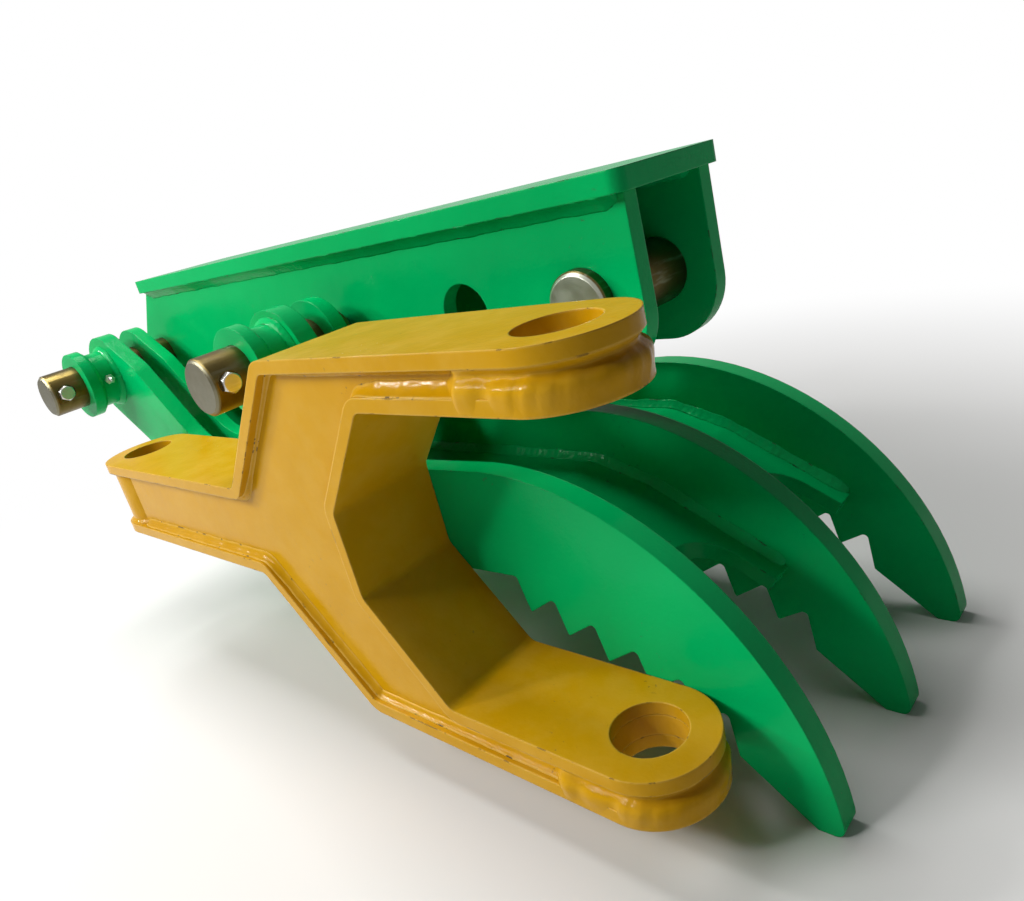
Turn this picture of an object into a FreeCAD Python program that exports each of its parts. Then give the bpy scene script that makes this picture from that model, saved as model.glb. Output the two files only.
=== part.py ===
import FreeCAD, Part
import math
import os

# A bolt-together excavator thumb and the fork-ended yoke delivered with it, in millimetres.
# The origin is in the middle of the weld face, on top of the base channel.
# X runs from the pivot towards the tine tips, Y runs along the pins, Z is up.
# Right is the -Y side and left is the +Y side.

V = FreeCAD.Vector
NORMAL_Y = V(0, 1, 0)
NORMAL_Z = V(0, 0, 1)

# Base channel: a flange that is welded to the machine's arm, and two side plates under it.
FLANGE_LENGTH = 752.0
FLANGE_WIDTH = 128.0
FLANGE_THICKNESS = 15.0
FLANGE_CORNER = 10.0
CHANNEL_WIDTH = 108.0
SIDE_PLATE = 14.0
SIDE_DEPTH = 123.0
SIDE_FRONT_SETBACK = 5.0
SIDE_FRONT_CORNER = 46.0
SIDE_REAR_TOP_SETBACK = 4.0
SIDE_REAR_RUN = 86.0
BRACE_THICKNESS = 12.0
BRACE_DEPTH = 90.0
BRACE_X = -215.0

# Pins and the holes that they pass through.
PIN_DIAMETER = 50.0
PIN_CLEARANCE = 0.05
PIN_CHAMFER = 3.0
HOLE_PITCH = 121.0
BASE_PIN_X = 323.0
BASE_PIN_Z = -83.0
SPARE_HOLES = 1
BASE_PIN_RIGHT_END = 11.0
BASE_PIN_LEFT_END = 30.0
PIVOT_X = -382.0
PIVOT_Z = -100.0
PIVOT_EAR = 49.0
LINK_PIN_X = 35.0
LINK_PIN_Z = -89.0
LINK_EAR = 44.0
LINK_PIN_INNER_GAP = 7.0

# Cross-bolts near the pin ends, with spot-faced seats.
BOLT_DIAMETER = 10.0
BOLT_HOLE = 10.4
BOLT_FROM_END = 15.0
BOLT_FLATS = 16.0
BOLT_HEAD = 6.5
NUT_HEIGHT = 8.0
BOLT_PROUD = 4.0
SEAT_DEPTH = 2.0
SEAT_DIAMETER = 20.0

# Thumb: three toothed tines, palm plates between them, and two lug plates beside the arms.
TINE_PITCH = 122.7
TINE_THICKNESS = 18.0
TIP_Z = -408.0
TIP_RADIUS = 7.0
TIP_RISE = 10.0
TIP_SETBACK = 17.0
BACK_CREST_X = 255.0
BACK_CREST_Z = -181.0
BACK_RADIUS = 243.0
BACK_LEVEL_Z = -186.0
ARM_SHOULDER_X = -300.0
ARM_SHOULDER_Z = -92.0
ARM_FOOT_X = -203.0
TOOTH_COUNT = 5
HOOK_X = 433.0
HOOK_Z = -369.0
HOOK_HEIGHT = 34.0
TOOTH_FIRST_X = 406.0
TOOTH_FIRST_Z = -348.5
TOOTH_PITCH = 33.3
TOOTH_RISE = 13.0
TOOTH_LEAN = 6.7
TOOTH_HEIGHT = 30.0
TOOTH_ROOT_RADIUS = 3.5
TOOTH_POINT_RADIUS = 1.5
BELLY_Z = -272.0
BELLY_FRONT_X = 120.0
BELLY_REAR_X = -125.0
BELLY_RADIUS = 90.0
THROAT_X = -300.0
THROAT_Z = -207.0
CENTRE_HEEL_X = -140.0
HEEL_RADIUS = 34.0
PALM_THICKNESS = 12.0
PALM_TOP_Z = -224.0
PALM_BEND_ONE_X = 265.0
PALM_BEND_TWO_X = 318.0
PALM_BEND_TWO_Z = -242.0
PALM_END_X = 420.0
PALM_END_Z = -299.0
PALM_BEND_RADIUS = 26.0
SCALLOP_STRIP = 20.0
SCALLOP_SETBACK = 26.0
ROOT_PLATE_REAR_X = -290.0
ROOT_PLATE_REAR_Z = -169.0
ROOT_PLATE_BEND_X = -217.0
LUG_THICKNESS = 14.0
LUG_OFFSET = 86.5
LUG_FRONT_X = 116.0
LUG_EAR_STEP = 2.0

# Outboard bearings at the pivot pin and at the link pins.
RING_RADIUS = 40.0
RING_THICKNESS = 12.0
RING_OFFSET = 158.0
OUTBOARD_WALL = 8.0
CHANNEL_BOSS_WALL = 12.0
PIN_END_OFFSET = 208.0
NIPPLE_DIAMETER = 8.0
NIPPLE_HEIGHT = 9.0
NIPPLE_SHANK = 6.0

# Yoke: a boxed fork of bent plates that stands on its side, its bores along Z.
YOKE_SPAN = 296.0
YOKE_DEPTH = 90.0
YOKE_PLATE = 10.0
YOKE_BORE = 50.1
YOKE_BOTTOM_Z = -359.4
YOKE_TINE_GAP = 0.4
FORK_BORE_X = 402.0
NECK_BORE_X = -225.0
ARM_THICKNESS = 36.0
OUTER_CORNER_X = 160.0
NECK_CORNER_X = 54.0
NECK_WIDTH = 80.0
INNER_CORNER_X = 265.5
INNER_BACK_X = 199.5
INNER_BACK_HALF = 34.5
YOKE_BEND = 10.0
WEB_RECESS = 9.0
YOKE_BOSS = 80.0
WEB_BOSS_GAP = 0.2
WEB_END_REACH = 22.0

# Values worked out from the driving dimensions.
PIN_RADIUS = PIN_DIAMETER / 2.0
HOLE_RADIUS = PIN_RADIUS + PIN_CLEARANCE
BOSS_RADIUS = HOLE_RADIUS + OUTBOARD_WALL
CHANNEL_HALF = CHANNEL_WIDTH / 2.0
CHANNEL_INNER_HALF = CHANNEL_HALF - SIDE_PLATE
SIDE_TOP_Z = -FLANGE_THICKNESS
SIDE_BOTTOM_Z = SIDE_TOP_Z - SIDE_DEPTH
SIDE_FRONT_X = FLANGE_LENGTH / 2.0 - SIDE_FRONT_SETBACK
TINE_HALF = TINE_THICKNESS / 2.0
TINE_OUTER_FACE = TINE_PITCH + TINE_HALF
TINE_INNER_FACE = TINE_PITCH - TINE_HALF
YOKE_CENTRE_Z = YOKE_BOTTOM_Z + YOKE_SPAN / 2.0
YOKE_CENTRE_Y = -TINE_OUTER_FACE - YOKE_TINE_GAP - YOKE_DEPTH / 2.0
YOKE_HALF = YOKE_SPAN / 2.0
NECK_HALF = NECK_WIDTH / 2.0


def unit(vector):
    """Return the vector at length one."""
    return V(vector).normalize()


def xz(x, z):
    """Return a point of the XZ plane."""
    return V(x, 0, z)


def rounded_wire(corners):
    """Close an outline of (point, radius) corners, each turned by an arc of its radius."""
    edges = []
    count = len(corners)
    starts = []
    ends = []
    mids = []
    for index in range(count):
        point, radius = corners[index]
        before = corners[index - 1][0]
        after = corners[(index + 1) % count][0]
        towards = unit(before - point)
        away = unit(after - point)
        half = towards.getAngle(away) / 2.0
        if radius <= 0 or half > math.pi / 2 - 1e-4:
            starts.append(point)
            ends.append(point)
            mids.append(None)
            continue
        reach = radius / math.tan(half)
        bisector = unit(towards + away)
        centre = point + bisector * (radius / math.sin(half))
        starts.append(point + towards * reach)
        ends.append(point + away * reach)
        mids.append(centre - bisector * radius)
    for index in range(count):
        if mids[index] is not None:
            edges.append(Part.Arc(starts[index], mids[index], ends[index]).toShape())
        start = ends[index]
        end = starts[(index + 1) % count]
        if (end - start).Length > 1e-6:
            edges.append(Part.LineSegment(start, end).toShape())
    return Part.Wire(edges)


def slab(corners, direction):
    """Extrude a rounded outline along a direction."""
    return Part.Face(rounded_wire(corners)).extrude(direction)


def plate_y(corners, y_low, thickness):
    """Cut a plate to an outline in XZ, standing between y_low and y_low + thickness."""
    solid = slab(corners, NORMAL_Y * thickness)
    solid.translate(V(0, y_low, 0))
    return solid


def rod_y(x, z, radius, y_low, y_high):
    """Make a round bar along Y."""
    return Part.makeCylinder(radius, y_high - y_low, V(x, y_low, z), NORMAL_Y)


def rod_z(x, y, radius, z_low, z_high):
    """Make a round bar along Z."""
    return Part.makeCylinder(radius, z_high - z_low, V(x, y, z_low), NORMAL_Z)


def tube_y(x, z, outer, inner, y_low, y_high):
    """Make a tube along Y."""
    return rod_y(x, z, outer, y_low, y_high).cut(rod_y(x, z, inner, y_low - 1, y_high + 1))


def tangent_point(outside, centre, radius, side):
    """Return where a line from a point outside touches a circle, on the side +1 or -1 of it."""
    gap = outside - centre
    distance = gap.Length
    turn = side * math.acos(radius / distance)
    along = unit(gap)
    turned = V(along.x * math.cos(turn) - along.z * math.sin(turn), 0,
               along.x * math.sin(turn) + along.z * math.cos(turn))
    return centre + turned * radius


def mirrored_y(shape):
    """Mirror a shape to the other side of the thumb."""
    return shape.mirror(V(0, 0, 0), NORMAL_Y)


def mirrored_yoke(shape):
    """Mirror a shape to the other arm of the yoke."""
    return shape.mirror(V(0, 0, YOKE_CENTRE_Z), NORMAL_Z)


def export(name, shape):
    """Write one sub-part."""
    shape.exportStep("parts/" + name + ".step")


def flange_plate():
    """The plate with the weld face, with rounded corners."""
    half_x = FLANGE_LENGTH / 2.0
    half_y = FLANGE_WIDTH / 2.0
    corners = [(V(sx * half_x, sy * half_y, 0), FLANGE_CORNER)
               for sx, sy in ((-1, -1), (1, -1), (1, 1), (-1, 1))]
    return slab(corners, NORMAL_Z * -FLANGE_THICKNESS)


def hole_positions():
    """Return the X of the base pin's hole and of each spare hole behind it."""
    return [BASE_PIN_X - HOLE_PITCH * index for index in range(SPARE_HOLES + 1)]


def side_plate(y_low):
    """A side plate of the channel, with its pivot ear, pin hole and spare holes."""
    pivot = xz(PIVOT_X, PIVOT_Z)
    top_rear = xz(-FLANGE_LENGTH / 2.0 + SIDE_REAR_TOP_SETBACK, SIDE_TOP_Z)
    bottom_rear = xz(PIVOT_X + SIDE_REAR_RUN, SIDE_BOTTOM_Z)
    corners = [
        (top_rear, 0),
        (xz(SIDE_FRONT_X, SIDE_TOP_Z), 0),
        (xz(SIDE_FRONT_X, SIDE_BOTTOM_Z), SIDE_FRONT_CORNER),
        (bottom_rear, 30.0),
        (tangent_point(bottom_rear, pivot, PIVOT_EAR, -1), 0),
        (pivot, 0),
        (tangent_point(top_rear, pivot, PIVOT_EAR, 1), 0),
    ]
    plate = plate_y(corners, y_low, SIDE_PLATE)
    ear = rod_y(PIVOT_X, PIVOT_Z, PIVOT_EAR, y_low, y_low + SIDE_PLATE)
    plate = plate.fuse(ear).removeSplitter()
    plate = plate.cut(rod_y(PIVOT_X, PIVOT_Z, HOLE_RADIUS, y_low - 1, y_low + SIDE_PLATE + 1))
    for x in hole_positions():
        plate = plate.cut(rod_y(x, BASE_PIN_Z, HOLE_RADIUS, y_low - 1, y_low + SIDE_PLATE + 1))
    return plate


def channel_brace():
    """A cross plate inside the channel."""
    inner = 2.0 * CHANNEL_INNER_HALF
    corner = V(BRACE_X, -CHANNEL_INNER_HALF, SIDE_TOP_Z - BRACE_DEPTH)
    return Part.makeBox(BRACE_THICKNESS, inner, BRACE_DEPTH, corner)


def channel_pivot_boss():
    """The tube that carries the pivot pin between the side plates."""
    outer = HOLE_RADIUS + CHANNEL_BOSS_WALL
    return tube_y(PIVOT_X, PIVOT_Z, outer, HOLE_RADIUS, -CHANNEL_INNER_HALF, CHANNEL_INNER_HALF)


def tooth_corners():
    """The saw teeth of the gripping edge, from the hooked tip towards the pivot."""
    corners = [
        (xz(HOOK_X, HOOK_Z), TOOTH_POINT_RADIUS),
        (xz(HOOK_X - TOOTH_LEAN / 2.0, HOOK_Z + HOOK_HEIGHT), TOOTH_ROOT_RADIUS),
    ]
    for index in range(TOOTH_COUNT):
        x = TOOTH_FIRST_X - index * TOOTH_PITCH
        z = TOOTH_FIRST_Z + index * TOOTH_RISE
        corners.append((xz(x, z), TOOTH_POINT_RADIUS))
        corners.append((xz(x - TOOTH_LEAN, z + TOOTH_HEIGHT), TOOTH_ROOT_RADIUS))
    return corners


def tine_face(lead_corners):
    """A tine's outline: its lead corners, then the crest, the round back, the teeth and the belly."""
    centre = xz(BACK_CREST_X, BACK_CREST_Z - BACK_RADIUS)
    crest = xz(BACK_CREST_X, BACK_CREST_Z)
    side_z = TIP_Z + TIP_RISE
    side_x = centre.x + math.sqrt(BACK_RADIUS ** 2 - (side_z - centre.z) ** 2)
    side = xz(side_x, side_z)
    middle = centre + unit(unit(crest - centre) + unit(side - centre)) * BACK_RADIUS
    nose = xz(side_x - TIP_SETBACK, TIP_Z)
    corners = [(xz(side_x, TIP_Z), TIP_RADIUS), (nose, 0)] + tooth_corners()
    corners.append((xz(BELLY_FRONT_X, BELLY_Z), BELLY_RADIUS))
    corners = corners + lead_corners + [(crest, 0), (side, 0)]
    outline = [edge for edge in rounded_wire(corners).Edges if not joins(edge, crest, side)]
    outline.append(Part.Arc(crest, middle, side).toShape())
    return Part.Face(Part.Wire(Part.__sortEdges__(outline)))


def joins(edge, first, second):
    """Tell whether an edge is the straight line between two points."""
    ends = [vertex.Point for vertex in edge.Vertexes]
    return all(min((point - end).Length for end in ends) < 1e-6 for point in (first, second))


def arm_top_corners(ear):
    """The top edge of an arm, from its pivot ear over the shoulder and round its link ear."""
    pivot = xz(PIVOT_X, PIVOT_Z)
    link = xz(LINK_PIN_X, LINK_PIN_Z)
    lower = PIVOT_EAR - ear
    shoulder = xz(ARM_SHOULDER_X, ARM_SHOULDER_Z - lower)
    rear_foot = xz(LINK_PIN_X - LINK_EAR * 2.1, BACK_LEVEL_Z)
    return [
        (tangent_point(shoulder, pivot, ear, 1), 0),
        (shoulder, 50.0),
        (xz(ARM_FOOT_X, BACK_LEVEL_Z), 70.0),
        (rear_foot, 26.0),
        (tangent_point(rear_foot, link, LINK_EAR - lower, -1), 0),
    ]


def arm_lead_corners():
    """The edges of an outer tine from the belly round the pivot ear to the crest."""
    pivot = xz(PIVOT_X, PIVOT_Z)
    link = xz(LINK_PIN_X, LINK_PIN_Z)
    throat = xz(THROAT_X, THROAT_Z)
    front_foot = xz(LINK_PIN_X + LINK_EAR * 2.3, BACK_LEVEL_Z)
    return [
        (xz(BELLY_REAR_X, BELLY_Z), BELLY_RADIUS),
        (throat, 60.0),
        (tangent_point(throat, pivot, PIVOT_EAR, -1), 0),
        (pivot, 0),
    ] + arm_top_corners(PIVOT_EAR) + [
        (tangent_point(front_foot, link, LINK_EAR, 1), 0),
        (front_foot, 40.0),
    ]


def outer_tine(y_low):
    """An outer tine with its pivot ear and link ear."""
    plate = tine_face(arm_lead_corners()).extrude(NORMAL_Y * TINE_THICKNESS)
    plate.translate(V(0, y_low, 0))
    y_high = y_low + TINE_THICKNESS
    for x, z, ear in ((PIVOT_X, PIVOT_Z, PIVOT_EAR), (LINK_PIN_X, LINK_PIN_Z, LINK_EAR)):
        plate = plate.fuse(rod_y(x, z, ear, y_low, y_high))
    plate = plate.removeSplitter()
    for x, z in ((PIVOT_X, PIVOT_Z), (LINK_PIN_X, LINK_PIN_Z)):
        plate = plate.cut(rod_y(x, z, HOLE_RADIUS, y_low - 1, y_high + 1))
    return plate


def centre_tine():
    """The middle tine, which ends in a rounded heel under the channel."""
    lead = [
        (xz(CENTRE_HEEL_X, BELLY_Z), HEEL_RADIUS),
        (xz(CENTRE_HEEL_X, BACK_LEVEL_Z), HEEL_RADIUS),
        (xz(BACK_CREST_X - 66.0, BACK_LEVEL_Z), 60.0),
    ]
    plate = tine_face(lead).extrude(NORMAL_Y * TINE_THICKNESS)
    plate.translate(V(0, -TINE_HALF, 0))
    return plate


def offset_path(points, distance):
    """Shift a path of XZ points sideways, keeping its corners mitred."""
    shifted = []
    for index, point in enumerate(points):
        normals = []
        if index > 0:
            run = unit(point - points[index - 1])
            normals.append(xz(-run.z, run.x))
        if index < len(points) - 1:
            run = unit(points[index + 1] - point)
            normals.append(xz(-run.z, run.x))
        middle = normals[0] if len(normals) == 1 else unit(normals[0] + normals[1])
        shifted.append(point + middle * (distance / middle.dot(normals[0])))
    return shifted


def bend_radii(points, bend, thickness):
    """Return each corner's radius on the path and on the face shifted by the thickness."""
    near = []
    far = []
    for index in range(1, len(points) - 1):
        first = points[index] - points[index - 1]
        second = points[index + 1] - points[index]
        turns_up = first.x * second.z - first.z * second.x > 0
        inside = turns_up == (thickness > 0)
        near.append(bend + abs(thickness) if inside else bend)
        far.append(bend if inside else bend + abs(thickness))
    return [0] + near + [0], [0] + far + [0]


def bent_plate_face(points, thickness, bend):
    """The edge-on outline of a bent plate whose one face follows the points."""
    shifted = offset_path(points, thickness)
    near, far = bend_radii(points, bend, thickness)
    corners = list(zip(points, near)) + list(zip(shifted, far))[::-1]
    return corners


def palm_path():
    """The top face of a palm plate, from its heel to its scalloped end."""
    return [
        xz(CENTRE_HEEL_X, PALM_TOP_Z),
        xz(PALM_BEND_ONE_X, PALM_TOP_Z),
        xz(PALM_BEND_TWO_X, PALM_BEND_TWO_Z),
        xz(PALM_END_X, PALM_END_Z),
    ]


def palm_plate():
    """The bent plate between the centre tine and the left tine, with a scallop at its end."""
    width = TINE_INNER_FACE - TINE_HALF
    plate = plate_y(bent_plate_face(palm_path(), -PALM_THICKNESS, PALM_BEND_RADIUS), TINE_HALF, width)
    radius = width / 2.0 - SCALLOP_STRIP
    middle = TINE_HALF + width / 2.0
    centre_x = PALM_END_X - SCALLOP_SETBACK
    scallop = rod_z(centre_x, middle, radius, PALM_END_Z - 100.0, PALM_TOP_Z + 50.0)
    mouth = Part.makeBox(200.0, 2.0 * radius, 200.0, V(centre_x, middle - radius, PALM_END_Z - 100.0))
    return plate.cut(scallop).cut(mouth)


def root_path():
    """The top face of the cross plate between the arms, from its rear edge to the centre tine."""
    return [
        xz(ROOT_PLATE_REAR_X, ROOT_PLATE_REAR_Z),
        xz(ROOT_PLATE_BEND_X, PALM_TOP_Z),
        xz(CENTRE_HEEL_X, PALM_TOP_Z),
    ]


def root_plate():
    """The bent cross plate that ties the two arms behind the centre tine."""
    outline = bent_plate_face(root_path(), -PALM_THICKNESS, PALM_BEND_RADIUS)
    return plate_y(outline, -TINE_INNER_FACE, 2.0 * TINE_INNER_FACE)


def lug_plate(y_low):
    """A lug plate beside an arm, with one ear on the pivot pin and one on the link pin."""
    pivot = xz(PIVOT_X, PIVOT_Z)
    link = xz(LINK_PIN_X, LINK_PIN_Z)
    pivot_ear = PIVOT_EAR - LUG_EAR_STEP
    link_ear = LINK_EAR - LUG_EAR_STEP
    rear, bend, _ = root_path()
    front = xz(LUG_FRONT_X, PALM_TOP_Z)
    corners = [
        (front, 0),
        (bend, PALM_BEND_RADIUS),
        (rear, 0),
        (tangent_point(rear, pivot, pivot_ear, -1), 0),
        (pivot, 0),
    ] + arm_top_corners(pivot_ear) + [
        (tangent_point(front, link, link_ear, 1), 0),
    ]
    plate = plate_y(corners, y_low, LUG_THICKNESS)
    y_high = y_low + LUG_THICKNESS
    for x, z, ear in ((PIVOT_X, PIVOT_Z, pivot_ear), (LINK_PIN_X, LINK_PIN_Z, link_ear)):
        plate = plate.fuse(rod_y(x, z, ear, y_low, y_high))
    plate = plate.removeSplitter()
    for x, z in ((PIVOT_X, PIVOT_Z), (LINK_PIN_X, LINK_PIN_Z)):
        plate = plate.cut(rod_y(x, z, HOLE_RADIUS, y_low - 1, y_high + 1))
    return plate


def outboard_ring(x, z):
    """The outboard ring plate on the left side of a pin."""
    return tube_y(x, z, RING_RADIUS, HOLE_RADIUS, RING_OFFSET, RING_OFFSET + RING_THICKNESS)


def outboard_boss(x, z):
    """The tube between a tine's ear and its outboard ring, tapped for a grease nipple."""
    boss = tube_y(x, z, BOSS_RADIUS, HOLE_RADIUS, TINE_OUTER_FACE, RING_OFFSET)
    hole = nipple_shank(x, z)
    return boss.cut(hole)


def nipple_seat(x, z):
    """Return the middle of the boss's front, where the nipple screws in."""
    return V(x + BOSS_RADIUS, (TINE_OUTER_FACE + RING_OFFSET) / 2.0, z)


def nipple_shank(x, z):
    """The threaded shank of a grease nipple."""
    seat = nipple_seat(x, z)
    return Part.makeCylinder(NIPPLE_DIAMETER / 2.0, NIPPLE_SHANK, seat - V(NIPPLE_SHANK, 0, 0), V(1, 0, 0))


def grease_nipple(x, z):
    """A grease nipple with its shank, hexagon, neck and tapered head."""
    seat = nipple_seat(x, z)
    radius = NIPPLE_DIAMETER / 2.0
    hexagon = hex_prism(seat, V(1, 0, 0), NIPPLE_DIAMETER + 2.0, NIPPLE_HEIGHT * 0.4)
    neck = Part.makeCone(radius * 0.8, radius * 0.5, NIPPLE_HEIGHT * 0.4,
                         seat + V(NIPPLE_HEIGHT * 0.4, 0, 0), V(1, 0, 0))
    head = Part.makeCone(radius * 0.65, radius * 0.35, NIPPLE_HEIGHT * 0.2,
                         seat + V(NIPPLE_HEIGHT * 0.8, 0, 0), V(1, 0, 0))
    return nipple_shank(x, z).fuse(hexagon).fuse(neck).fuse(head)


def hex_prism(base, direction, flats, height):
    """A hexagonal prism along X from its base point."""
    radius = flats / math.sqrt(3.0)
    points = []
    for index in range(6):
        angle = math.radians(60.0 * index)
        points.append(base + V(0, radius * math.cos(angle), radius * math.sin(angle)))
    return Part.Face(Part.makePolygon(points + [points[0]])).extrude(direction * height)


def pin_bar(x, z, y_low, y_high):
    """A plain pin along Y with both ends chamfered."""
    bar = rod_y(x, z, PIN_RADIUS, y_low, y_high)
    bar.rotate(V(x, 0, z), NORMAL_Y, 45.0)
    rims = [edge for edge in bar.Edges if edge.Length > PIN_RADIUS and is_circle(edge)]
    return bar.makeChamfer(PIN_CHAMFER, rims)


def is_circle(edge):
    """Tell whether an edge is a circle."""
    return isinstance(edge.Curve, Part.Circle)


def cross_drilled(bar, x, y, z):
    """Drill a pin for its cross-bolt along X, and spot-face both seats."""
    start = V(x - PIN_DIAMETER, y, z)
    bar = bar.cut(Part.makeCylinder(BOLT_HOLE / 2.0, 2.0 * PIN_DIAMETER, start, V(1, 0, 0)))
    seat = PIN_RADIUS - SEAT_DEPTH
    for side in (-1, 1):
        face = V(x + side * seat, y, z)
        bar = bar.cut(Part.makeCylinder(SEAT_DIAMETER / 2.0, PIN_RADIUS, face, V(side, 0, 0)))
    return bar


def cross_bolt(x, y, z):
    """The bolt through a pin's end, with its head towards the tips and its nut behind."""
    seat = PIN_RADIUS - SEAT_DEPTH
    head = hex_prism(V(x + seat, y, z), V(1, 0, 0), BOLT_FLATS, BOLT_HEAD)
    length = 2.0 * seat + NUT_HEIGHT + BOLT_PROUD
    shank = Part.makeCylinder(BOLT_DIAMETER / 2.0, length, V(x + seat - length, y, z), V(1, 0, 0))
    nut = hex_prism(V(x - seat - NUT_HEIGHT, y, z), V(1, 0, 0), BOLT_FLATS, NUT_HEIGHT)
    return head.fuse(shank).fuse(nut)


def pivot_pin():
    """The long pin that the thumb turns on, cross-drilled at both ends."""
    bar = pin_bar(PIVOT_X, PIVOT_Z, -PIN_END_OFFSET, PIN_END_OFFSET)
    for side in (-1, 1):
        bar = cross_drilled(bar, PIVOT_X, side * (PIN_END_OFFSET - BOLT_FROM_END), PIVOT_Z)
    return bar


def pivot_pin_bolts():
    """The two cross-bolts of the pivot pin."""
    y = PIN_END_OFFSET - BOLT_FROM_END
    return Part.makeCompound([cross_bolt(PIVOT_X, -y, PIVOT_Z), cross_bolt(PIVOT_X, y, PIVOT_Z)])


def link_pin():
    """The left link pin, which ends just short of the channel."""
    bar = pin_bar(LINK_PIN_X, LINK_PIN_Z, CHANNEL_HALF + LINK_PIN_INNER_GAP, PIN_END_OFFSET)
    return cross_drilled(bar, LINK_PIN_X, PIN_END_OFFSET - BOLT_FROM_END, LINK_PIN_Z)


def link_pin_bolt():
    """The cross-bolt of the left link pin."""
    return cross_bolt(LINK_PIN_X, PIN_END_OFFSET - BOLT_FROM_END, LINK_PIN_Z)


def base_pin():
    """The pin at the front of the channel, cross-drilled at its left end."""
    bar = pin_bar(BASE_PIN_X, BASE_PIN_Z, -CHANNEL_HALF - BASE_PIN_RIGHT_END, CHANNEL_HALF + BASE_PIN_LEFT_END)
    return cross_drilled(bar, BASE_PIN_X, CHANNEL_HALF + BASE_PIN_LEFT_END - BOLT_FROM_END, BASE_PIN_Z)


def base_pin_bolt():
    """The cross-bolt of the base pin."""
    return cross_bolt(BASE_PIN_X, CHANNEL_HALF + BASE_PIN_LEFT_END - BOLT_FROM_END, BASE_PIN_Z)


def yoke_point(x, height):
    """Return a point of the yoke's XZ outline, its height taken from the yoke's middle."""
    return xz(x, YOKE_CENTRE_Z + height)


def yoke_outer_path():
    """The outer face of the yoke's upper flange, from the neck to the fork ear."""
    radius = YOKE_DEPTH / 2.0
    return [
        yoke_point(NECK_BORE_X - radius, NECK_HALF),
        yoke_point(NECK_CORNER_X, NECK_HALF),
        yoke_point(OUTER_CORNER_X, YOKE_HALF),
        yoke_point(FORK_BORE_X + radius, YOKE_HALF),
    ]


def yoke_inner_path():
    """The inner face of the yoke's liner, from the upper ear round the throat to the lower ear."""
    radius = YOKE_DEPTH / 2.0
    inner_half = YOKE_HALF - ARM_THICKNESS
    upper = [
        (FORK_BORE_X + radius, inner_half),
        (INNER_CORNER_X, inner_half),
        (INNER_BACK_X, INNER_BACK_HALF),
    ]
    lower = [(x, -height) for x, height in reversed(upper)]
    return [yoke_point(x, height) for x, height in upper + lower]


def yoke_rounding():
    """The space that the yoke's flanges are trimmed to, round at both ends about the bores."""
    half = YOKE_DEPTH / 2.0
    low = V(NECK_BORE_X, YOKE_CENTRE_Y - half, YOKE_BOTTOM_Z)
    body = Part.makeBox(FORK_BORE_X - NECK_BORE_X, YOKE_DEPTH, YOKE_SPAN, low)
    for x in (NECK_BORE_X, FORK_BORE_X):
        body = body.fuse(rod_z(x, YOKE_CENTRE_Y, half, YOKE_BOTTOM_Z, YOKE_BOTTOM_Z + YOKE_SPAN))
    return body


def yoke_bores():
    """The bores of the neck and of the fork."""
    top = YOKE_BOTTOM_Z + YOKE_SPAN
    radius = YOKE_BORE / 2.0
    fork = rod_z(FORK_BORE_X, YOKE_CENTRE_Y, radius, YOKE_BOTTOM_Z - 1, top + 1)
    neck = rod_z(NECK_BORE_X, YOKE_CENTRE_Y, radius, YOKE_BOTTOM_Z - 1, top + 1)
    return fork.fuse(neck)


def yoke_strip(path, thickness):
    """A bent plate of the yoke's full depth, trimmed round and bored."""
    outline = bent_plate_face(path, thickness, YOKE_BEND)
    strip = plate_y(outline, YOKE_CENTRE_Y - YOKE_DEPTH / 2.0, YOKE_DEPTH)
    return strip.common(yoke_rounding()).cut(yoke_bores())


def yoke_upper_flange():
    """The outer plate of the upper arm, bent down to the neck."""
    return yoke_strip(yoke_outer_path(), -YOKE_PLATE)


def yoke_liner():
    """The inner plate, bent round the throat of the fork."""
    return yoke_strip(yoke_inner_path(), -YOKE_PLATE)


def yoke_web(y_low):
    """A side wall of the yoke, set back between the flanges and the liner and closed against the bosses."""
    outer = offset_path(yoke_outer_path(), -YOKE_PLATE)
    inner = offset_path(yoke_inner_path(), -YOKE_PLATE)
    neck_end = NECK_BORE_X + WEB_END_REACH
    fork_end = FORK_BORE_X - WEB_END_REACH
    neck_half = NECK_HALF - YOKE_PLATE
    upper = [
        (yoke_point(neck_end, neck_half), 0),
        (outer[1], YOKE_BEND + YOKE_PLATE),
        (outer[2], YOKE_BEND),
        (xz(fork_end, outer[3].z), 0),
        (xz(fork_end, inner[0].z), 0),
        (inner[1], YOKE_BEND + YOKE_PLATE),
        (inner[2], YOKE_BEND + YOKE_PLATE),
    ]
    lower = [(xz(point.x, 2.0 * YOKE_CENTRE_Z - point.z), radius) for point, radius in reversed(upper)]
    web = plate_y(upper + lower, y_low, YOKE_PLATE)
    radius = YOKE_BOSS / 2.0 + WEB_BOSS_GAP
    for x in (NECK_BORE_X, FORK_BORE_X):
        web = web.cut(rod_z(x, YOKE_CENTRE_Y, radius, YOKE_BOTTOM_Z, YOKE_BOTTOM_Z + YOKE_SPAN))
    return web


def yoke_fork_boss():
    """The ring between the two plates of the upper ear."""
    low = YOKE_CENTRE_Z + YOKE_HALF - ARM_THICKNESS + YOKE_PLATE
    high = YOKE_CENTRE_Z + YOKE_HALF - YOKE_PLATE
    return rod_z(FORK_BORE_X, YOKE_CENTRE_Y, YOKE_BOSS / 2.0, low, high).cut(yoke_bores())


def yoke_neck_boss():
    """The tube between the two flanges at the neck."""
    half = NECK_HALF - YOKE_PLATE
    solid = rod_z(NECK_BORE_X, YOKE_CENTRE_Y, YOKE_BOSS / 2.0, YOKE_CENTRE_Z - half, YOKE_CENTRE_Z + half)
    return solid.cut(yoke_bores())


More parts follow.
